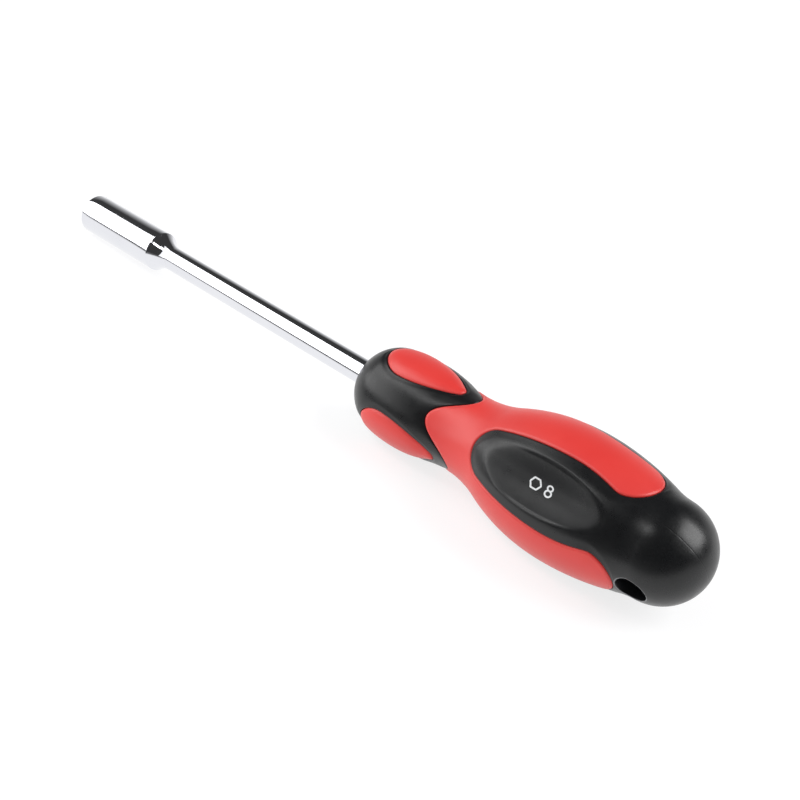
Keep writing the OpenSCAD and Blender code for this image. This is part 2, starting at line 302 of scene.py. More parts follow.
def edge_profile(reach, drop, level, gap=0.05, wall=1.3):
    """Profile of a rounded edge: a short wall that starts deep beside the border, then a quarter of an ellipse,
    reach wide and drop high, up to the surface's level. Gives distances from the border and heights."""
    out = np.concatenate([[gap], gap + reach * (1 - np.cos(quarter))])
    high = np.concatenate([[-wall], level - drop * (1 - np.sin(quarter))])
    return out, high


RED_OUT, RED_HIGH = edge_profile(0.8, 0.5, 0.0)
BLACK_OUT, BLACK_HIGH = edge_profile(0.35, 0.35, -0.15)
print("grip edge", np.round(RED_OUT, 2), np.round(RED_HIGH, 2))

# %% [markdown]
# ## The soft grip
# The red sleeve is one moulding: a ring round the waist with a wavy front, from which three strips run back
# between the panels. Only one sixth of it needs to be worked out, because the rest repeats and mirrors it.

# %% Grip sleeve
rim_x, rim_turn = aside(border_x, border_turn, -RED_OUT)
front_x, front_turn = aside(wave_x, wave_turn, RED_OUT)
ring_lines, ring_back, tip_run = 26, 170.6, 2.4
ring_q = np.linspace(rim_x[-1, -1], front_x[-1, -1], ring_lines)
ring_p = np.linspace(ring_back, front_x[-1, 0], ring_lines)
strip_p = np.linspace(rim_x[-1, 0] - tip_run, ring_p[0], rim_x.shape[1])
strip_patch = lines_across(strip_p, 0 * strip_p, rim_x[-1], rim_turn[-1], ACROSS)
ring_patch = lines_across(ring_p, 0 * ring_p, ring_q, 0 * ring_q + SIXTH, ACROSS)
ring_patch[0][-1], ring_patch[1][-1] = front_x[-1], front_turn[-1]
grids = six_fold(*strip_patch, 0.0) + six_fold(*ring_patch, 0.0)
grids += six_fold(rim_x, rim_turn, RED_HIGH[:, None]) + six_fold(front_x, front_turn, RED_HIGH[:, None])
grip = make_piece("soft_grip_sleeve", grids)
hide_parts("grip_sleeve")

# %% [markdown]
# ## The thumb pads
# Three red pads sit in pockets of the collar, one in line with each strip. They are moulded a little proud and
# crowned, so that the thumb finds them. Each is drawn as lines from its middle to its rounded edge, and mirrored.

# %% Thumb pads
pad_level, pad_drop, pad_reach, least_reach = 0.32, 0.95, 3.2, 0.7
pad_gap, pad_rim, pad_wall = 0.04, 0.9, 1.0
# The middle line starts and ends this far inside the rim
front_run, back_run = 1.6, 0.9


def pillow(x, turn):
    """Height of a pad over the skin. From its border inwards the pad rises on a quarter of an ellipse, as far
    as its reach or, in a narrow end, as the middle line, and stays level after that."""
    inside = egg_inside(x, outline(x)[0] * np.sin(turn), PAD)
    reach = np.clip(0.95 * egg_half_width(x, PAD), least_reach, pad_reach)
    short = np.clip(1 - inside / reach, 0, 1)
    return pad_level - pad_drop * (1 - np.sqrt(1 - short ** 2))


def pad_grids(k):
    """One pad: lines from its middle line to its inner rim, the rim itself in steps that are finer outwards,
    and a short wall down into the pocket, with the mirror image of all three."""
    edge_x, edge_turn = aside(pad_x, pad_turn, pad_gap + pad_rim * np.linspace(0, 1, 12) ** 2)
    middle = np.linspace(edge_x[-1, 0] + front_run, edge_x[-1, -1] - back_run, edge_x.shape[1])
    x, turn = lines_across(middle, 0 * middle, edge_x[-1], edge_turn[-1], 26)
    rim = pillow(edge_x, edge_turn)
    wall = np.stack([rim[0] - pad_wall, rim[0]])
    patches = [(x, turn, pillow(x, turn)), (edge_x, edge_turn, rim), (edge_x[[0, 0]], edge_turn[[0, 0]], wall)]
    return [facing_out(skin(x, side * t + k * THIRD, h)) for x, t, h in patches for side in (1, -1)]


pads = []
for k, node in enumerate(["thumb_pad_top", "thumb_pad_near", "thumb_pad_far"]):
    pad = make_piece("soft_" + node, pad_grids(k))
    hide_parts(node)
    pads.append(pad)

# %% [markdown]
# ## The black collar
# The collar closes the handle round the blade and guards the fingers. It is one skin with three pad pockets in
# it, so its lines run from the nose, part round each pad, and join again at the wavy border of the grip.

# %% Collar round the pads
def fade(v, reach=0.35):
    """Black sinks a little beside the grip and is back at full height after a share of the line's length."""
    return BLACK_HIGH[-1] * (1 - smooth_step(v / reach))


# The land is the stretch of collar between the pads' back ends and the grip
land_x, land_lines = 151.0, 12
v = np.linspace(0, 1, ACROSS)
pocket_x, pocket_turn = aside(pad_x, pad_turn, -BLACK_OUT)
collar_edge_x, collar_edge_turn = aside(wave_x, wave_turn, -BLACK_OUT)
beside = np.linspace(pocket_x[-1, 0], land_x, pocket_x.shape[1])
pocket_patch = lines_across(pocket_x[-1], pocket_turn[-1], beside, 0 * beside + SIXTH, ACROSS)
land_p = np.linspace(pocket_x[-1, -1], collar_edge_x[-1, 0], land_lines)
land_q = np.linspace(land_x, collar_edge_x[-1, -1], land_lines)
land_patch = lines_across(land_p, 0 * land_p, land_q, 0 * land_q + SIXTH, ACROSS)
land_patch[0][-1], land_patch[1][-1] = collar_edge_x[-1], collar_edge_turn[-1]
near_border = np.linspace(0, 1, land_lines)[:, None] ** 3
land_lift = fade(v) * (1 - near_border) + BLACK_HIGH[-1] * near_border
print("collar from", round(beside[0], 2), "mm to the grip's wave at", round(land_p[-1], 2), "mm")

# %% [markdown]
# The nose is a ball with a hole for the blade. Its rows lie at even angles from the axis, so that the faces stay
# even towards the hole, and a small quarter round leads into it.

# %% Nose and its hole
hole_r, nose_round, hole_depth, nose_sink = 3.6, 0.3, 3.0, 2.0
lean = np.linspace(np.arcsin((hole_r + nose_round) / nose_arc), np.arccos((ARC_X[0] - beside[0]) / nose_arc), 26)
nose_rows = ARC_X[0] - nose_arc * np.cos(lean)
nose_rows[-1] = beside[0]
nose_turn = np.linspace(0, SIXTH, ACROSS)
nose_lift = fade(v) * smooth_step((nose_rows[:, None] - nose_rows[-1] + nose_sink) / nose_sink)
nose_patch = (nose_rows[:, None] + 0 * nose_turn, 0 * nose_rows[:, None] + nose_turn, nose_lift)


def turned(x, r, turns):
    """A profile turned round the drive axis: one row for each point of the profile."""
    x, r = np.asarray(x, float)[:, None], np.asarray(r, float)[:, None]
    return np.stack(np.broadcast_arrays(x, -r * np.sin(turns), r * np.cos(turns)), axis=-1)


nose_bend = np.linspace(0, np.pi / 2, 5)
nose_lip_x = nose_rows[0] + nose_round * (1 - np.cos(nose_bend))
nose_lip_r = hole_r + nose_round * (1 - np.sin(nose_bend))
full_turn = np.linspace(0, 2 * np.pi, 6 * (ACROSS - 1) + 1)
nose_hole = turned(np.append(nose_lip_x, nose_lip_x[-1] + hole_depth), np.append(nose_lip_r, hole_r), full_turn)
print("nose from", round(nose_rows[0], 2), "mm, hole radius", hole_r, "mm")

# %% Front collar
grids = six_fold(*pocket_patch, np.broadcast_to(fade(v), pocket_patch[0].shape))
grids += six_fold(*land_patch, land_lift) + six_fold(*nose_patch)
grids += six_fold(pocket_x, pocket_turn, BLACK_HIGH[:, None])
grids += six_fold(collar_edge_x, collar_edge_turn, BLACK_HIGH[:, None])
grids.append(facing_out(nose_hole)[:, ::-1])
collar = make_piece("moulded_front_collar", grids)
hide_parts("front_collar")

# %% [markdown]
# ## The black back and its label recesses
# Behind the grip the black shows as three egg-shaped panels that run together into the ball of the butt. Each
# panel has a recess for a label. Its floor is a shallow spoon, which rises gently to the back and to both sides. It
# could be cut with a boolean, but a height taken off the skin gives it a moulding's soft rim.

# %% Panels and recesses
BACK_ACROSS = 49
bowl_x, bowl_depth, bowl_tilt = 202.0, 2.78, 0.026
# Slope of the floor's two sides and the length over which they meet, along the handle and across it
long_slope, long_soft, cross_slope, cross_soft = 0.045, 8.0, 0.24, 2.6
# The soft end of the floor, and the wall at the rim: where it starts outside the egg and how wide it is
end_soft, rim_out, rim_wide = 0.3, 0.3, 1.1


def hinge(run, slope, flat):
    """Two even slopes that meet in a soft hinge: slope times the root of run squared plus flat squared, less
    flat, which is a branch of a hyperbola."""
    return slope * (np.sqrt(run ** 2 + flat ** 2) - flat)


def recess_drop(x, turn):
    """Depth of the recess at a place of the panel that is centred on a sixth of a turn. Its floor starts a
    depth below the bulge and rises on a hinge along the handle, more to the back, and on a hinge across it.
    What lies over the floor is taken away, with a soft end where the floor comes out of the skin, and from the
    rim it grows over a wall."""
    r = outline(x)[0]
    sideways, high = r * np.sin(turn - SIXTH), r * np.cos(turn - SIXTH)
    along = x - bowl_x
    base = bulge_r - bowl_depth + hinge(along, long_slope, long_soft) + bowl_tilt * along
    over = high - base - hinge(sideways, cross_slope, cross_soft)
    depth = (over + np.sqrt(over ** 2 + end_soft ** 2)) / 2
    inside = egg_inside(x, sideways, RECESS)
    return depth * np.cos(turn - SIXTH) * smooth_step((inside + rim_out) / rim_wide)


edge_x, edge_turn = aside(border_x, border_turn, BLACK_OUT)
spine_run = 2.2
spine = np.linspace(edge_x[-1, 0], edge_x[-1, -1] + spine_run, edge_x.shape[1])
panel_patch = lines_across(edge_x[-1], edge_turn[-1], spine, 0 * spine + SIXTH, BACK_ACROSS)
panel_lift = fade(np.linspace(0, 1, BACK_ACROSS)) - recess_drop(*panel_patch)
print("deepest place of a recess", round(float(recess_drop(*panel_patch).max()), 2), "mm")

# %% [markdown]
# ## The butt and the hanging hole
# The butt is a ball with a hole bored through it for a peg or a lanyard. Rows of points run round the ball, and
# a block of them is left open at each mouth. Rings then lead from the rim of that block to the round mouth, over
# its small lip, and down the bore to the middle, where the two halves of the bore meet.

# %% Rows of the butt
block_end, sink_run = 231.6, 2.5
meridian = edge_x[-1, 0] + (butt_x - edge_x[-1, 0]) * np.sin(np.linspace(0, np.pi / 2, 4000))
butt_rows = even_steps(meridian, 0 * meridian, 58)[0]
block = int(np.argmin(np.abs(butt_rows - block_end)))
print(len(butt_rows), "rows on the butt, open at the mouths up to row", block)


def butt_lift(x, turn):
    """The black still sinks a little behind each strip, and is level after a few mm."""
    from_strip = np.abs((turn + SIXTH) % THIRD - SIXTH) / SIXTH
    return fade(from_strip) * (1 - smooth_step((x - butt_rows[0]) / sink_run))


def butt_rows_between(first, last, turns):
    """Rows of the butt over a stretch of turns."""
    x, turn = np.broadcast_arrays(butt_rows[first:last + 1, None], turns)
    return facing_out(skin(x, turn, butt_lift(x, turn)))


# %% Mouths of the bore
hang_x, bore_r, lip_r = 225.5, 4.0, 0.25


def bore_mouth(mouth):
    """Rings from the open block round a mouth to the bore. Seen along the bore, a point of the block's rim is
    drawn straight towards the circle that it faces, then over a quarter-round lip and down to the axis."""
    turns = mouth + np.linspace(-SIXTH / 2, SIXTH / 2, BACK_ACROSS)
    x = butt_rows[:block + 1]
    rim_x = np.concatenate([0 * turns[1:] + x[0], x[:-1], 0 * turns[1:] + x[-1], x[:0:-1], x[:1]])
    rim_turn = np.concatenate([turns[:-1], 0 * x[1:] + turns[-1], turns[:0:-1], 0 * x[1:] + turns[0], turns[:1]])
    run, wide = rim_x - hang_x, outline(rim_x)[0] * np.sin(rim_turn - mouth)
    face = np.arctan2(wide, run)
    mouth_r = bore_r + lip_r
    u = (1 - np.cos(np.linspace(0, np.pi, 9)))[:, None] / 2
    x = hang_x + run + (mouth_r * np.cos(face) - run) * u
    turn = mouth + np.arcsin((wide + (mouth_r * np.sin(face) - wide) * u) / outline(x)[0])
    land = skin(x, turn, butt_lift(x, turn))
    high = outline(x[-1])[0] * np.cos(turn[-1] - mouth) + butt_lift(x[-1], turn[-1])
    bend_round = np.linspace(0, np.pi / 2, 5)[:, None]
    ring = bore_r + lip_r * (1 - np.sin(bend_round))
    lip_down = high - lip_r * (1 - np.cos(bend_round))
    down = lip_down[-1] * np.linspace(1, 0, 9)[1:, None]
    ring, depth = np.concatenate([ring, 0 * down[:, :1] + bore_r]), np.concatenate([lip_down, down])
    side = ring * np.sin(face)
    bore = np.stack(np.broadcast_arrays(
        hang_x + ring * np.cos(face),
        -depth * np.sin(mouth) - side * np.cos(mouth),
        depth * np.cos(mouth) - side * np.sin(mouth)), axis=-1)
    bore[0] = land[-1]
    both = np.concatenate([land, bore[1:]])
    return both if facing_out(land) is land else both[:, ::-1]


hole_turns = (THIRD, THIRD + np.pi)
mouths = [bore_mouth(mouth) for mouth in hole_turns]
print("bore mouths of", mouths[0].shape[0], "rings with", mouths[0].shape[1], "points")

# %% Rear body
grids = six_fold(*panel_patch, panel_lift) + six_fold(edge_x, edge_turn, BLACK_HIGH[:, None])
grids += mouths
for mouth in hole_turns:
    turns = mouth + np.linspace(SIXTH / 2, np.pi - SIXTH / 2, 2 * (BACK_ACROSS - 1) + 1)
    grids.append(butt_rows_between(0, block, turns))
butt_turn = np.linspace(0, 2 * np.pi, 6 * (BACK_ACROSS - 1) + 1)
grids.append(butt_rows_between(block, len(butt_rows) - 1, butt_turn))
rear = make_piece("moulded_rear_body", grids)
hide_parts("rear_body")

# %% [markdown]
# ## The socket
# The socket is turned from bar, its hexagon is broached, and the whole is polished and plated. Its rim is crisp,
# and behind it the body sweeps down to the shaft in one hollow arc. Profile and hexagon become one grid: every
# ring of it has the same turns, and the hexagon's rings have their own radius at each turn.

# %% Outside of the socket
blade_turns = np.linspace(0, 2 * np.pi, 193)
socket_r, shaft_r, socket_end, shoulder_end, mouth_round = 6.0, 3.55, 33.3, 39.8, 0.4
hollow = bend(shoulder_end - socket_end, socket_r - shaft_r)
mouth_bend = np.linspace(np.pi / 2, 0, 6)
body_x = [4, 12, 20, 28]
# The rim behind the body is a short parabola that ends at the slope with which the hollow arc starts
rim, rim_slope = np.linspace(-0.14, 0.12, 6), 0.85
hollow_x = np.linspace(socket_end + 0.15, shoulder_end, 40)
outside_x = np.concatenate([mouth_round * (1 - np.sin(mouth_bend)), body_x, socket_end + rim, hollow_x])
outside_r = np.concatenate([
    socket_r - mouth_round * (1 - np.cos(mouth_bend)),
    [socket_r] * len(body_x),
    socket_r - rim_slope * (rim - rim[0]) ** 2 / (2 * (rim[-1] - rim[0])),
    shaft_r + hollow - np.sqrt(hollow ** 2 - (shoulder_end - hollow_x) ** 2)])
outside = facing_out(turned(outside_x, outside_r, blade_turns))
print("hollow arc behind the socket", round(hollow, 2), "mm")

# %% Socket head
hex_flat, hex_depth, relief_end = 4.0, 15.0, 19.0
# From the middle of a flat the hexagon's wall moves out with one over the cosine of the turn
hex_r = hex_flat / np.cos(blade_turns % SIXTH - SIXTH / 2)
hex_corner = hex_flat / np.cos(SIXTH / 2)
flat_ring = np.ones_like(blade_turns)
inside_x = np.stack([0 * flat_ring, 0 * flat_ring, hex_corner - hex_r, hex_depth * flat_ring,
                     hex_depth * flat_ring, relief_end * flat_ring, relief_end * flat_ring])
inside_r = np.stack([(socket_r - mouth_round) * flat_ring, hex_corner * flat_ring, hex_r, hex_r,
                     hex_flat * flat_ring, hex_flat * flat_ring, 0 * flat_ring])
inside = np.stack([inside_x, -inside_r * np.sin(blade_turns), inside_r * np.cos(blade_turns)], axis=-1)
BLADE_SHARP = 24
socket = make_piece("plated_socket_head", [outside, facing_out(inside)[:, ::-1]], sharp=BLADE_SHARP)
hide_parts("socket_head")

# %% [markdown]
# ## The shaft
# The shaft is drawn bar. Inside the handle it carries two pairs of wings, pressed out of the bar so that the
# moulding can't turn on it. They stay hidden, but the shaft is whole: its radius is a function of the place
# along the axis and the turn, and swells to a flat bar's shape where the press closed on it.

# %% Shaft with pressed wings
spigot_x, step_x, spigot_r = 25.85, 39.82, 2.5
chamfer_x, tang_x, chamfer_r = 199.3, 200.0, 2.9
wing_wide, wing_thick, wing_long, press_run = 11.0, 2.6, 12.0, 1.5
bar_x = np.concatenate([[spigot_x] * 2, [step_x] * 2, np.linspace(45, 145, 21), np.linspace(146, 194, 97),
                        [chamfer_x, tang_x, tang_x]])
bar_r = np.full(len(bar_x), shaft_r)
bar_r[:3], bar_r[-2:] = [0, spigot_r, spigot_r], [chamfer_r, 0]


def wing_radius(turns, wide_turn):
    """Outline of a flattened bar: one over the sixth root of the sum of the sixth powers of the direction's
    parts, each over its own half size."""
    wide = np.abs(np.cos(turns - wide_turn)) / (wing_wide / 2)
    thick = np.abs(np.sin(turns - wide_turn)) / (wing_thick / 2)
    return (wide ** 6 + thick ** 6) ** (-1 / 6)


pressed_r = bar_r[:, None] + 0 * blade_turns
for start, wide_turn in ((149.0, np.radians(30)), (179.0, np.radians(120))):
    press = smooth_step((bar_x - start) / press_run) * smooth_step((start + wing_long - bar_x) / press_run)
    pressed_r = pressed_r + press[:, None] * np.maximum(wing_radius(blade_turns, wide_turn) - pressed_r, 0)
bar = np.stack(np.broadcast_arrays(
    bar_x[:, None], -pressed_r * np.sin(blade_turns), pressed_r * np.cos(blade_turns)), axis=-1)
shaft = make_piece("plated_shaft", [facing_out(bar)], sharp=BLADE_SHARP)
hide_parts("shaft")

# %% [markdown]
# ## The size mark
# A nut driver carries the size of its hexagon on the handle. A plain hexagon and a plain 8 are pad-printed in
# white on the floor of one recess. Both are ribbons: a line in the plane of the label, widened to the stroke of
# the print and laid on the floor, with the film's own thickness. No font is needed.

# %% Printed size mark
stroke, film_top, film_foot = 0.48, 0.02, -0.05
sign_x, sign_flat, digit_x = 195.0, 1.5, 199.4


def along_lap(line):
    """Direction of a closed line at each of its points: half the difference of its two neighbours."""
    return np.gradient(np.concatenate([line[-2:-1], line, line[1:2]]))[1:-1]


def print_ribbon(u, w, centre_x):
    """A closed line u along the handle and w up the label, widened by half the stroke to both sides along its
    own normal, laid on the recess's floor and given the thickness of an ink film."""
    du, dw = along_lap(u), along_lap(w)
    size = np.hypot(du, dw)
    wide = np.array([1, 1, -1, -1])[:, None] * stroke / 2
    film = np.array([film_foot, film_top, film_top, film_foot])[:, None]
    x = centre_x + u + wide * dw / size
    turn = SIXTH - (w - wide * du / size) / outline(x)[0]
    return facing_out(skin(x, turn, film - recess_drop(x, turn)))


lap = np.linspace(0, 2 * np.pi, 97)
hexagon = sign_flat / np.cos(lap % SIXTH - SIXTH / 2)
# The 8 is two ovals, the lower one a little larger
grids = [
    print_ribbon(hexagon * np.cos(lap), hexagon * np.sin(lap), sign_x),
    print_ribbon(0.80 * np.cos(lap), 0.80 + 0.72 * np.sin(lap), digit_x),
    print_ribbon(0.94 * np.cos(lap), -0.78 + 0.86 * np.sin(lap), digit_x)]
size_mark = make_piece("printed_size_mark", grids, sharp=40)

# %% [markdown]
# ## Finishes
# Every finish starts from what the real surface is and how it was made. Patterns read Object coordinates, which
# are metres here, so a pattern's scale is one over its size in metres. One small function adds a node, and one
# turns a colour as a painter writes it, in sRGB, into the linear values that the renderer needs.

# %% Helpers for finishes
def colour(hex_code):
    """sRGB hex to linear: a value up to 0.04045 is divided by 12.92; above it, the value plus 0.055 over 1.055
    is raised to the power 2.4."""
    s = np.array([int(hex_code[i:i + 2], 16) for i in (1, 3, 5)]) / 255
    return (*np.where(s <= 0.04045, s / 12.92, ((s + 0.055) / 1.055) ** 2.4).tolist(), 1.0)


def add(tree, kind, inputs=None, **settings):
    """Adds one node. settings are its own fields; inputs are its sockets, each a value or a socket to link."""
    node = tree.nodes.new(kind)
    for name, value in settings.items():
        setattr(node, name, value)
    for name, value in (inputs or {}).items():
        if isinstance(value, bpy.types.NodeSocket):
            tree.links.new(value, node.inputs[name])
        else:
            node.inputs[name].default_value = value
    return node


def new_finish(name):
    """An empty material with its shader, its output and Object coordinates."""
    material = bpy.data.materials.new(name)
    material.use_nodes = True
    tree = material.node_tree
    tree.nodes.clear()
    shader = add(tree, "ShaderNodeBsdfPrincipled")
    add(tree, "ShaderNodeOutputMaterial", {"Surface": shader.outputs["BSDF"]})
    return material, tree, shader, add(tree, "ShaderNodeTexCoord").outputs["Object"]


def wear(piece, material):
    """Gives a piece its finish, in the first slot."""
    piece.data.materials.clear()
    piece.data.materials.append(material)


# %% [markdown]
# ### Chrome plate
# The blade is chrome on polished steel. The eye gets sharp mirror bands from it, a slight waviness that the
# polishing wheel leaves, and a faint haze where hands and cloth have been.

# %% Bright chrome plate on polished steel
chrome, tree, shader, place = new_finish("bright_chrome_plate_on_polished_steel")
shader.inputs["Metallic"].default_value = 1.0
# Wheel marks: waves 2.5 mm long, drawn out along the blade
lengthwise = add(tree, "ShaderNodeMapping", {"Vector": place, "Scale": (0.12, 1.0, 1.0)})
waves = add(tree, "ShaderNodeTexNoise", {"Vector": lengthwise.outputs[0], "Scale": 1 / 0.0025, "Detail": 2.0})
haze = add(tree, "ShaderNodeTexNoise", {"Vector": place, "Scale": 1 / 0.014, "Detail": 4.0, "Roughness": 0.6})
gloss = add(tree, "ShaderNodeMapRange", {"Value": haze.outputs["Fac"], "From Min": 0.3, "From Max": 0.7,
                                         "To Min": 0.05, "To Max": 0.11})
tint = add(tree, "ShaderNodeMix", {"Factor": haze.outputs["Fac"], "A": colour("#EFF0F4"), "B": colour("#E4E5EB")},
           data_type="RGBA")
ripple = add(tree, "ShaderNodeBump", {"Height": waves.outputs["Fac"], "Strength": 0.25, "Distance": 0.00002})
tree.links.new(tint.outputs["Result"], shader.inputs["Base Color"])
tree.links.new(gloss.outputs["Result"], shader.inputs["Roughness"])
tree.links.new(ripple.outputs["Normal"], shader.inputs["Normal"])
for piece in (socket, shaft):
    wear(piece, chrome)
print("finish:", chrome.name)

# %% [markdown]
# ### Soft red grip
# The grip is a thermoplastic elastomer, moulded in a spark-eroded tool. That gives it a fine matt grain, a soft
# broad highlight, and a pale bloom where the eye skims along it. The colour runs a little deeper where the
# moulding is thick.

# %% Moulded red elastomer
elastomer, tree, shader, place = new_finish("moulded_red_thermoplastic_elastomer")
# Clouds 9 mm across, as the dye flows in the tool
clouds = add(tree, "ShaderNodeTexNoise", {"Vector": place, "Scale": 1 / 0.009, "Detail": 3.0})
dye = add(tree, "ShaderNodeMix", {"Factor": clouds.outputs["Fac"], "A": colour("#D62E2A"), "B": colour("#DE3B35")},
          data_type="RGBA")
# The eroded grain is about 0.1 mm; it is drawn at 0.3 mm so that it shows
grain = add(tree, "ShaderNodeTexNoise", {"Vector": place, "Scale": 1 / 0.0003, "Detail": 3.0, "Roughness": 0.6})
matt = add(tree, "ShaderNodeMapRange", {"Value": grain.outputs["Fac"], "From Min": 0.3, "From Max": 0.7,
                                        "To Min": 0.36, "To Max": 0.48})
relief = add(tree, "ShaderNodeBump", {"Height": grain.outputs["Fac"], "Strength": 0.35, "Distance": 0.00003})
shader.inputs["IOR"].default_value = 1.58
shader.inputs["Sheen Weight"].default_value = 0.1
shader.inputs["Sheen Roughness"].default_value = 0.4
shader.inputs["Sheen Tint"].default_value = colour("#FFD9D4")
tree.links.new(dye.outputs["Result"], shader.inputs["Base Color"])
tree.links.new(matt.outputs["Result"], shader.inputs["Roughness"])
tree.links.new(relief.outputs["Normal"], shader.inputs["Normal"])
for piece in [grip] + pads:
    wear(piece, elastomer)
print("finish:", elastomer.name)

# %% [markdown]
# ### Black polypropylene
# The black is satin polypropylene from a fine-grained tool: a dark charcoal rather than a pure black, with wide
# soft highlights. The tool's halves leave a hair line over the butt, from the neck over the ball to the other side.

# %% Moulded black polypropylene
black, tree, shader, place = new_finish("moulded_black_polypropylene")
flow = add(tree, "ShaderNodeTexNoise", {"Vector": place, "Scale": 1 / 0.011, "Detail": 3.0})
charcoal = add(tree, "ShaderNodeMix", {"Factor": flow.outputs["Fac"], "A": colour("#0E0F10"),
                                       "B": colour("#141517")}, data_type="RGBA")
# Tool grain of about 0.1 mm, drawn at 0.28 mm so that it shows
grain = add(tree, "ShaderNodeTexNoise", {"Vector": place, "Scale": 1 / 0.00028, "Detail": 3.0, "Roughness": 0.6})
# Hands polish it in patches of 3 to 4 mm
rubbed = add(tree, "ShaderNodeTexNoise", {"Vector": place, "Scale": 1 / 0.0035, "Detail": 4.0, "Roughness": 0.65})
patches = add(tree, "ShaderNodeMapRange", {"Value": rubbed.outputs["Fac"], "From Min": 0.35, "From Max": 0.65,
                                           "To Min": -0.03, "To Max": 0.05})
fine_gloss = add(tree, "ShaderNodeMapRange", {"Value": grain.outputs["Fac"], "From Min": 0.3, "From Max": 0.7,
                                              "To Min": 0.27, "To Max": 0.35})
satin = add(tree, "ShaderNodeMath", {0: fine_gloss.outputs["Result"], 1: patches.outputs["Result"]},
            operation="ADD")
relief = add(tree, "ShaderNodeBump", {"Height": grain.outputs["Fac"], "Strength": 0.3, "Distance": 0.00002})
print("grain on", black.name)

# %% Parting line over the butt
# The parting plane holds the drive axis and leans 30 degrees from the top; the line on it is 0.25 mm wide
plane = add(tree, "ShaderNodeVectorMath", {0: place, 1: (0.0, np.cos(np.radians(30)), np.sin(np.radians(30)))},
            operation="DOT_PRODUCT")
off_plane = add(tree, "ShaderNodeMath", {0: plane.outputs["Value"]}, operation="ABSOLUTE")
ridge = add(tree, "ShaderNodeMapRange", {"Value": off_plane.outputs[0], "From Min": 0.0, "From Max": 0.00025,
                                         "To Min": 1.0, "To Max": 0.0}, interpolation_type="SMOOTHSTEP")
along_axis = add(tree, "ShaderNodeSeparateXYZ", {"Vector": place})
on_butt = add(tree, "ShaderNodeMapRange", {"Value": along_axis.outputs["X"], "From Min": 0.2165,
                                           "From Max": 0.2185}, interpolation_type="SMOOTHSTEP")
seam = add(tree, "ShaderNodeMath", {0: ridge.outputs["Result"], 1: on_butt.outputs["Result"]}, operation="MULTIPLY")
# The line comes and goes over some 3 mm, where the tool's halves closed more or less tightly
worn_line = add(tree, "ShaderNodeMapRange", {"Value": rubbed.outputs["Fac"], "From Min": 0.4, "From Max": 0.6,
                                             "To Min": 0.1, "To Max": 1.0})
seam = add(tree, "ShaderNodeMath", {0: seam.outputs[0], 1: worn_line.outputs["Result"]}, operation="MULTIPLY")
parting = add(tree, "ShaderNodeBump", {"Height": seam.outputs[0], "Strength": 0.6, "Distance": 0.00004,
                                       "Normal": relief.outputs["Normal"]}, invert=True)
print("parting line on", black.name)

# %% Painted glint on the lip of the hanging hole
# A pale glint is painted on the lip of the hanging hole: a point's distance from the bore's line is the length of
# the cross product of its place with that line, and only the lip lies a little over the bore's radius from it
bore_line = (0.0, -np.sin(THIRD), np.cos(THIRD))
from_bore = add(tree, "ShaderNodeVectorMath", {0: place, 1: (hang_x * MM, 0.0, 0.0)}, operation="SUBTRACT")
beside_bore = add(tree, "ShaderNodeVectorMath", {0: from_bore.outputs[0], 1: bore_line}, operation="CROSS_PRODUCT")
bore_far = add(tree, "ShaderNodeVectorMath", {0: beside_bore.outputs[0]}, operation="LENGTH")
outside_bore = add(tree, "ShaderNodeMapRange", {"Value": bore_far.outputs["Value"], "From Min": 0.00401,
                                                "From Max": 0.00407})
beyond_lip = add(tree, "ShaderNodeMapRange", {"Value": bore_far.outputs["Value"], "From Min": 0.00422,
                                              "From Max": 0.0044, "To Min": 1.0, "To Max": 0.0})
painted_lip_glint = add(tree, "ShaderNodeMath", {0: outside_bore.outputs["Result"], 1: beyond_lip.outputs["Result"]},
               operation="MULTIPLY")
# Painted highlight: the lip's glint is a pale grey mixed into the base colour
charcoal = add(tree, "ShaderNodeMix", {"Factor": painted_lip_glint.outputs[0], "A": charcoal.outputs["Result"],
                                       "B": colour("#77787A")}, data_type="RGBA")
tree.links.new(charcoal.outputs["Result"], shader.inputs["Base Color"])
tree.links.new(satin.outputs[0], shader.inputs["Roughness"])
tree.links.new(parting.outputs["Normal"], shader.inputs["Normal"])
shader.inputs["IOR"].default_value = 1.49
for piece in (collar, rear):
    wear(piece, black)
print("finish:", black.name)

# %% [markdown]
# ### Core plastic and ink
# The core is the first shot, unfinished grey polypropylene that nobody sees. The print is a thin film of matt
# white ink, which covers a little unevenly.

# %% Unfinished core plastic and white pad-printing ink
core, tree, shader, place = new_finish("unfinished_grey_polypropylene")
flow = add(tree, "ShaderNodeTexNoise", {"Vector": place, "Scale": 1 / 0.006, "Detail": 3.0})
grey = add(tree, "ShaderNodeMix", {"Factor": flow.outputs["Fac"], "A": colour("#85878B"), "B": colour("#96989C")},
           data_type="RGBA")
tree.links.new(grey.outputs["Result"], shader.inputs["Base Color"])
shader.inputs["Roughness"].default_value = 0.55
wear(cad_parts["inner_core"], core)

ink, tree, shader, place = new_finish("white_pad_printing_ink")
cover = add(tree, "ShaderNodeTexNoise", {"Vector": place, "Scale": 1 / 0.0002, "Detail": 2.0})
film = add(tree, "ShaderNodeMix", {"Factor": cover.outputs["Fac"], "A": colour("#C4C7C9"), "B": colour("#F0F1F1")},
           data_type="RGBA")
tree.links.new(film.outputs["Result"], shader.inputs["Base Color"])
shader.inputs["Roughness"].default_value = 0.5
wear(size_mark, ink)
print("finishes:", core.name, ink.name)

# %% [markdown]
# ## Floor, light and surroundings
# The tool lies on a white table, on its socket and on the rims of its lower panel, so the table is tilted a
# little against the drive axis. A large soft lamp stands to the left of the camera, with a scrim that softens its
# right edge, and a smaller, stronger one behind the butt. A short strip and a small scrim hang close over the near
# side of the blade: they give the stripe on the socket's shoulder and the soft patch on the neck of the butt. A low
# scrim in front of the socket lightens the collar's nose. The room in front is dark, which gives the plating its
# dark bands, and a white sweep stands behind.

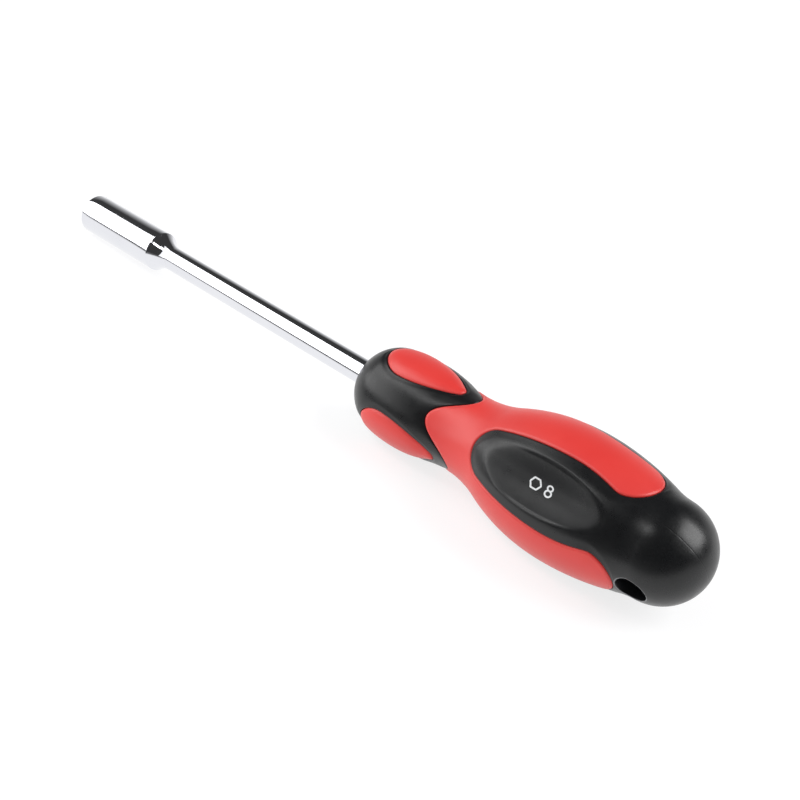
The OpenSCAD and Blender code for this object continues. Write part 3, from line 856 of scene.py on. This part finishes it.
# %% Table
def box_of(node):
    """Lowest and highest corner of a CAD node in mm."""
    return [np.array(corner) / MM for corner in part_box(node)]


rest_front = np.array([0.0, 0.0, box_of("socket_head")[0][2]])
rest_back = np.array([bulge_x, 0.0, box_of("rear_body")[0][2]])
slope = (rest_back - rest_front)[2] / (rest_back - rest_front)[0]
# It lies a hair lower, so that no rim cuts into it
table_half, table_gap, lines = 3000.0, 0.2, 9
ruler = np.linspace(-table_half, table_half, lines)
table_x, table_y = np.meshgrid(ruler, ruler, indexing="ij")
table_z = rest_front[2] - table_gap + slope * table_x
table_points = np.stack([table_x, table_y, table_z], axis=-1).reshape(-1, 3) * MM
cell = np.arange(lines ** 2).reshape(lines, lines)
table_faces = np.stack([cell[:-1, :-1], cell[1:, :-1], cell[1:, 1:], cell[:-1, 1:]], axis=-1).reshape(-1, 4)
table_mesh = bpy.data.meshes.new("white_table")
table_mesh.from_pydata(table_points, [], table_faces.tolist())
table = bpy.data.objects.new("white_table", table_mesh)
bpy.context.scene.collection.objects.link(table)
print("table tilted by", round(float(np.degrees(np.arctan(slope))), 2), "degrees")

# %% White table top
# White laminate. The camera sees it nearly white, with what is left of the shadow
laminate = bpy.data.materials.new("white_laminate")
laminate.use_nodes = True
tree = laminate.node_tree
tree.nodes.clear()
path = add(tree, "ShaderNodeLightPath")
mirrored = add(tree, "ShaderNodeMath", {0: path.outputs["Is Glossy Ray"], 1: path.outputs["Is Transmission Ray"]},
               operation="MAXIMUM")
lit = add(tree, "ShaderNodeBsdfDiffuse", {"Color": colour("#F0F0F1")})
shaded = add(tree, "ShaderNodeBsdfDiffuse", {"Color": (0.26, 0.26, 0.265, 1.0)})
glow = add(tree, "ShaderNodeEmission", {"Color": (1.0, 1.0, 1.0, 1.0), "Strength": 0.78})
pale = add(tree, "ShaderNodeAddShader", {0: shaded.outputs[0], 1: glow.outputs[0]})
# Past the shadow, from 0.4 m on, it runs into the plain white of the background
on_table = add(tree, "ShaderNodeTexCoord").outputs["Object"]
far_off = add(tree, "ShaderNodeVectorMath", {0: on_table}, operation="LENGTH")
whiten = add(tree, "ShaderNodeMapRange", {"Value": far_off.outputs["Value"], "From Min": 0.4, "From Max": 1.0},
             interpolation_type="SMOOTHSTEP")
plain = add(tree, "ShaderNodeEmission", {"Color": (1.0, 1.0, 1.0, 1.0), "Strength": 1.0})
pale = add(tree, "ShaderNodeMixShader", {0: whiten.outputs["Result"], 1: pale.outputs[0], 2: plain.outputs[0]})
# Seen in gloss the table is a glow, with painted shade that dims it to 0.12 over its near side
along_table = add(tree, "ShaderNodeSeparateXYZ", {"Vector": on_table})
glow_under_painted_shade = add(tree, "ShaderNodeMapRange", {"Value": along_table.outputs["Y"], "From Min": -0.075,
                                               "From Max": -0.035, "To Min": 0.12, "To Max": 1.0},
                  interpolation_type="SMOOTHSTEP")
gleam = add(tree, "ShaderNodeEmission", {"Color": (1.0, 1.0, 1.0, 1.0), "Strength": glow_under_painted_shade.outputs["Result"]})
top = add(tree, "ShaderNodeMixShader", {0: path.outputs["Is Camera Ray"], 1: lit.outputs[0], 2: pale.outputs[0]})
top = add(tree, "ShaderNodeMixShader", {0: mirrored.outputs[0], 1: top.outputs[0], 2: gleam.outputs[0]})
add(tree, "ShaderNodeOutputMaterial", {"Surface": top.outputs[0]})
wear(table, laminate)
print("finish:", laminate.name)


# %% Lamps
def soft_lamp(name, place, bearing, height, width, tall, radiance):
    """A rectangular lamp with its middle at a place in metres. It shines from a bearing, in degrees from the
    near side towards the butt, and a height above the table. Its power is its radiance times pi times its area."""
    light = bpy.data.lights.new(name, "AREA")
    light.shape = "RECTANGLE"
    light.size, light.size_y = width, tall
    light.energy = radiance * np.pi * width * tall
    lamp = bpy.data.objects.new(name, light)
    b, h = np.radians([bearing, height])
    out = Vector((np.cos(h) * np.sin(b), -np.cos(h) * np.cos(b), np.sin(h)))
    lamp.location = place
    lamp.rotation_euler = (-out).to_track_quat("-Z", "Y").to_euler()
    bpy.context.scene.collection.objects.link(lamp)
    print(name, [round(v, 2) for v in lamp.location], round(light.energy, 1), "W")


# Name, place, bearing, height, width, length and radiance
soft_lamp("left_softbox", (-0.745, -0.425, 0.425), 0, 45, 0.77, 1.20, 2.5)
soft_lamp("left_scrim", (-0.265, -0.425, 0.425), 0, 45, 0.19, 1.20, 1.2)
soft_lamp("butt_softbox", (0.815, 0.407, 0.643), 122, 40, 0.70, 0.80, 5.2)
soft_lamp("near_strip", (0.095, -0.155, 0.235), 0, 56, 0.15, 0.055, 4.2)
soft_lamp("near_scrim", (-0.045, -0.135, 0.240), 0, 58, 0.13, 0.090, 1.8)
soft_lamp("front_scrim", (-0.42, -0.22, 0.085), -62, 8, 0.30, 0.18, 1.6)

# %% Surroundings
world = bpy.data.worlds.new("white_sweep_in_a_dark_room")
bpy.context.scene.world = world
world.use_nodes = True
tree = world.node_tree
tree.nodes.clear()
path = add(tree, "ShaderNodeLightPath")
toward = add(tree, "ShaderNodeTexCoord").outputs["Generated"]
# The sweep stands behind the tool and fades upwards into the dark
behind = add(tree, "ShaderNodeVectorMath", {0: toward, 1: (-0.66, 0.75, 0.0)}, operation="DOT_PRODUCT")
sweep_wide = add(tree, "ShaderNodeMapRange", {"Value": behind.outputs["Value"], "From Min": 0.1, "From Max": 0.5},
                 interpolation_type="SMOOTHSTEP")
rise = add(tree, "ShaderNodeSeparateXYZ", {"Vector": toward})
sweep_high = add(tree, "ShaderNodeMapRange", {"Value": rise.outputs["Z"], "From Min": -0.1, "From Max": 0.56,
                                              "To Min": 1.0, "To Max": 0.0})
sweep = add(tree, "ShaderNodeMath", {0: sweep_wide.outputs["Result"], 1: sweep_high.outputs["Result"]},
            operation="MULTIPLY")
sweep_white = add(tree, "ShaderNodeMapRange", {"Value": sweep.outputs[0], "To Min": 0.042, "To Max": 1.0})
# Soft fill for matt surfaces: more of it comes from the near side than from behind
near_side = add(tree, "ShaderNodeVectorMath", {0: toward, 1: (-0.35, -0.94, 0.0)}, operation="DOT_PRODUCT")
fill = add(tree, "ShaderNodeMapRange", {"Value": near_side.outputs["Value"], "From Min": -0.4, "From Max": 1.0,
                                        "To Min": 0.2, "To Max": 0.75})
room = add(tree, "ShaderNodeBackground", {"Color": (1.0, 1.0, 1.02, 1.0), "Strength": fill.outputs["Result"]})
mirrored = add(tree, "ShaderNodeBackground", {"Color": (1.0, 1.0, 1.0, 1.0),
                                              "Strength": sweep_white.outputs["Result"]})
white = add(tree, "ShaderNodeBackground", {"Color": (1.0, 1.0, 1.0, 1.0), "Strength": 1.0})
shine = add(tree, "ShaderNodeMath", {0: path.outputs["Is Glossy Ray"], 1: path.outputs["Is Transmission Ray"]},
            operation="MAXIMUM")
around = add(tree, "ShaderNodeMixShader", {0: shine.outputs[0], 1: room.outputs[0], 2: mirrored.outputs[0]})
seen = add(tree, "ShaderNodeMixShader", {0: path.outputs["Is Camera Ray"], 1: around.outputs[0],
                                         2: white.outputs[0]})
add(tree, "ShaderNodeOutputWorld", {"Surface": seen.outputs[0]})
bpy.context.scene.view_settings.view_transform = "Standard"
print("surroundings:", world.name)
